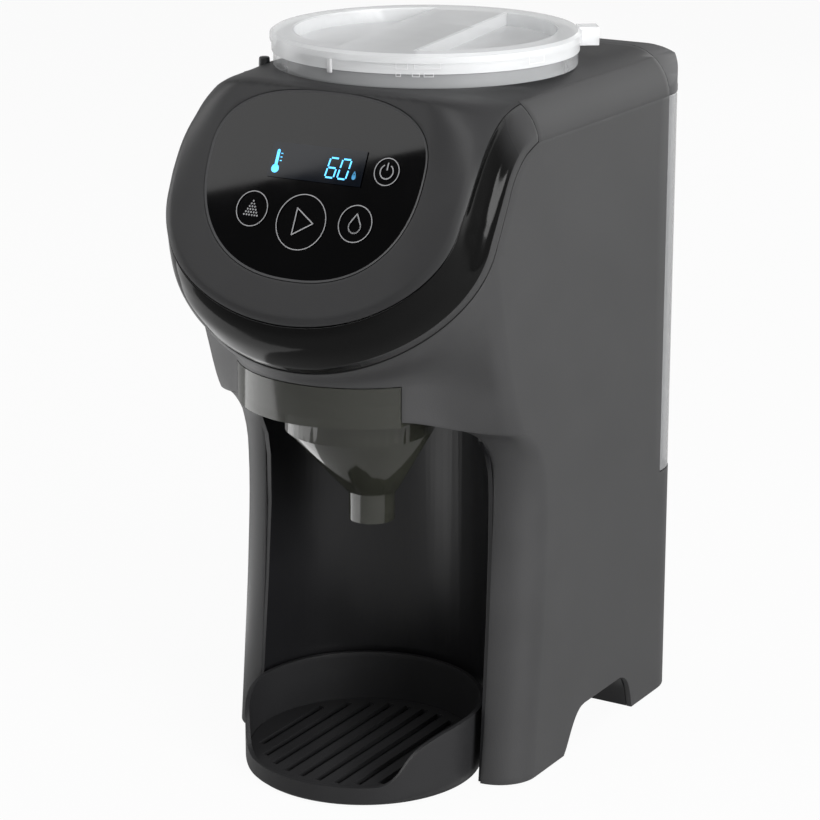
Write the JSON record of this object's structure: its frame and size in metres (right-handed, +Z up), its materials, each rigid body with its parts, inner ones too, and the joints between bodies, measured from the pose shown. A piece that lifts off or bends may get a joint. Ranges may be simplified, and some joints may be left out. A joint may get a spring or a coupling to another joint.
{
  "type": "baby formula maker",
  "caption": "Upright formula maker: tilted touch panel over a bay with funnel and drip tray, powder container on top, water tank behind.",
  "frame": {"origin": "middle of the machine on the worktop, halfway between its front and rear limits", "axes": "+Z up, the front with the bay and the touch panel faces -Y, +X to the right of someone looking at the front from -Y"},
  "size_m": [0.157, 0.238, 0.332],
  "materials": {
    "charcoal": "fine matte texture",
    "cover_grey": "fine matte texture",
    "gloss_black": "polished",
    "panel_glass": "polished, smoked",
    "dark_matte": "matte",
    "smoke": "smoke tint, translucent",
    "clear_tank": "clear, lightly frosted",
    "milky": "milky translucent",
    "white_plastic": "satin",
    "black_rubber": "matte",
    "seal_rubber": "matte",
    "hose": "clear silicone",
    "steel": "brushed",
    "motor_steel": "satin",
    "cast": "as cast",
    "bronze": "satin",
    "board": "solder mask",
    "black_parts": "satin"
  },
  "bodies": {
    "machine": {"main_housing": "charcoal", "top_cover": "cover_grey", "lid_latch": "cover_grey", "head_ring": "gloss_black", "control_glass": "panel_glass", "display_module": "black_parts", "control_board": "board", "bay_liner": "dark_matte", "funnel_carrier": "dark_matte", "base_plate": "dark_matte", "rubber_feet": "black_rubber", "base_screws": "steel", "rear_cover": "charcoal", "tank_dock": "dark_matte", "dock_seal": "seal_rubber", "container_well": "dark_matte", "shaft_bush": "bronze", "gearbox_case": "dark_matte", "drive_motor": "motor_steel", "powder_chute": "white_plastic", "water_spout": "white_plastic", "heater_block": "cast", "thermostats": "black_parts", "water_pump": "motor_steel", "heater_hose": "hose", "spout_hose": "hose", "pump_hose": "hose", "main_board": "board", "power_board": "board", "cord_gland": "dark_matte", "funnel_sensor": "dark_matte", "wire_harness": "black_parts"},
    "funnel_unit": {"funnel": "smoke"},
    "tray": {"drip_tray": "dark_matte"},
    "grid": {"drip_grid": "dark_matte"},
    "tank": {"water_tank": "clear_tank", "valve_cage": "clear_tank", "valve_spring": "steel"},
    "cap": {"tank_cap": "charcoal"},
    "valve": {"tank_valve": "white_plastic"},
    "container": {"powder_container": "milky"},
    "lid": {"powder_lid": "milky"},
    "mixer": {"metering_wheel": "white_plastic", "stirrer": "white_plastic"},
    "drive": {"drive_gear": "white_plastic", "drive_shaft": "steel"},
    "pinion": {"motor_pinion": "bronze"}
  },
  "joints": [
    {"name": "funnel_slide", "type": "slide", "parent": "machine", "child": "funnel_unit", "axis": [0, -1, 0], "range_m": [0, 0.1]},
    {"name": "tray_slide", "type": "slide", "parent": "machine", "child": "tray", "axis": [0, -1, 0], "range_m": [0, 0.13]},
    {"name": "grid_lift", "type": "slide", "parent": "tray", "child": "grid", "axis": [0, 0, 1], "range_m": [0, 0.03]},
    {"name": "tank_lift", "type": "slide", "parent": "machine", "child": "tank", "axis": [0, 0, 1], "range_m": [0, 0.06]},
    {"name": "cap_lift", "type": "slide", "parent": "tank", "child": "cap", "axis": [0, 0, 1], "range_m": [0, 0.04]},
    {"name": "valve_travel", "type": "slide", "parent": "tank", "child": "valve", "axis": [0, 0, 1], "range_m": [0, 0.003], "stiffness_N_per_m": 250, "springref_m": -0.003, "deforming": ["valve_spring"]},
    {"name": "container_lift", "type": "slide", "parent": "machine", "child": "container", "axis": [0, 0, 1], "range_m": [0, 0.11]},
    {"name": "lid_lift", "type": "slide", "parent": "container", "child": "lid", "axis": [0, 0, 1], "range_m": [0, 0.04]},
    {"name": "drive_spin", "type": "hinge", "parent": "machine", "child": "drive", "pos_m": [0, 0.004, 0.21], "axis": [0, 0, 1], "continuous": true},
    {"name": "pinion_spin", "type": "hinge", "parent": "machine", "child": "pinion", "pos_m": [0, 0.0415, 0.21], "axis": [0, 0, 1], "continuous": true},
    {"name": "mixer_spin", "type": "hinge", "parent": "container", "child": "mixer", "pos_m": [0, 0.004, 0.228], "axis": [0, 0, 1], "continuous": true}
  ],
  "couplings": [
    {"joint": "pinion_spin", "follows": "drive_spin", "ratio": -4},
    {"joint": "mixer_spin", "follows": "drive_spin", "ratio": 1}
  ]
}
